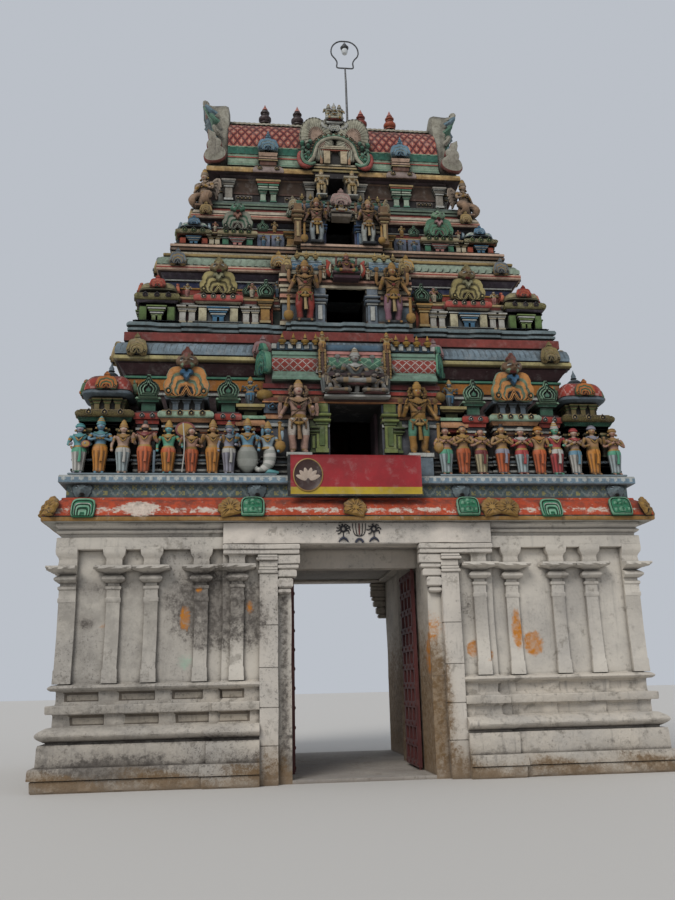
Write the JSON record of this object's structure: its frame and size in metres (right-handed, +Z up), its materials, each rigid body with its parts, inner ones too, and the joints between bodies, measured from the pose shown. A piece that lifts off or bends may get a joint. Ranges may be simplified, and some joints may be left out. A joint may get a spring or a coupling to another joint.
{
  "type": "gopuram, a temple gate tower",
  "caption": "Temple gate tower: stone base with a gateway and two lattice doors, three hollow plastered tiers, barrel roof with finials and a ring lamp pole.",
  "frame": {"origin": "on the ground, at the middle of the base", "axes": "+X to the right seen from the street, -Y towards the street, +Z up"},
  "size_m": [11.2, 6.6072, 17.7721],
  "materials": {
    "limewashed_stone": "rough lime wash over granite, mould and ochre stains",
    "bare_stone": "weathered granite",
    "door_timber": "dark red oil paint, worn",
    "cornice_paint": "red-orange wash, worn",
    "frieze_paint": "blue-grey wash",
    "tier1_paint": "painted plaster, faded",
    "tier2_paint": "painted plaster, faded",
    "tier3_paint": "painted plaster, faded",
    "shrine1_paint": "painted plaster, faded",
    "shrine2_paint": "painted plaster, faded",
    "shrine3_paint": "painted plaster, faded",
    "figure_paint": "painted plaster figures",
    "porch_paint": "painted plaster, faded",
    "roof_paint": "painted plaster tiles",
    "finial_paint": "dark red paint over copper",
    "sign_paint": "printed sheet, satin",
    "lamp_metal": "galvanised, dull"
  },
  "bodies": {
    "tower": {"barrel_roof": "roof_paint", "base_wall_left": "limewashed_stone", "base_wall_right": "limewashed_stone", "door_head_beam": "limewashed_stone", "figure_ledge": "frieze_paint", "figures_back_left": "figure_paint", "figures_back_right": "figure_paint", "figures_front_left": "figure_paint", "figures_front_right": "figure_paint", "figures_side_left": "figure_paint", "figures_side_right": "figure_paint", "gable_end_left": "porch_paint", "gable_end_right": "porch_paint", "gate_post_back_left": "limewashed_stone", "gate_post_back_right": "limewashed_stone", "gate_post_front_left": "limewashed_stone", "gate_post_front_right": "limewashed_stone", "lamp_pole": "lamp_metal", "lintel_back": "limewashed_stone", "lintel_front": "limewashed_stone", "main_cornice": "cornice_paint", "main_gable_back": "porch_paint", "main_gable_front": "porch_paint", "neck": "tier2_paint", "passage_ceiling": "bare_stone", "passage_floor": "bare_stone", "plinth_left": "bare_stone", "plinth_right": "bare_stone", "ridge_and_finials": "finial_paint", "roof_eave": "roof_paint", "sign_board": "sign_paint", "tier1_cornice": "tier1_paint", "tier1_porch_back": "porch_paint", "tier1_porch_front": "porch_paint", "tier1_shrines_left": "shrine1_paint", "tier1_shrines_right": "shrine1_paint", "tier1_wall_left": "tier1_paint", "tier1_wall_right": "tier1_paint", "tier2_cornice": "tier2_paint", "tier2_porch_back": "porch_paint", "tier2_porch_front": "porch_paint", "tier2_shrines_left": "shrine2_paint", "tier2_shrines_right": "shrine2_paint", "tier2_wall_left": "tier2_paint", "tier2_wall_right": "tier2_paint", "tier3_cornice": "tier3_paint", "tier3_porch_back": "porch_paint", "tier3_porch_front": "porch_paint", "tier3_shrines_left": "shrine3_paint", "tier3_shrines_right": "shrine3_paint", "tier3_wall_left": "tier3_paint", "tier3_wall_right": "tier3_paint"},
    "leaf_left": {"door_leaf_left": "door_timber"},
    "leaf_right": {"door_leaf_right": "door_timber"}
  },
  "joints": [
    {"name": "leaf_right_hinge", "type": "hinge", "parent": "tower", "child": "leaf_right", "pos_m": [1.165, -1.945, 0.1], "axis": [0, 0, 1], "range_deg": [0, 90]},
    {"name": "leaf_left_hinge", "type": "hinge", "parent": "tower", "child": "leaf_left", "pos_m": [-1.165, -1.945, 0.1], "axis": [0, 0, -1], "range_deg": [0, 90]}
  ]
}
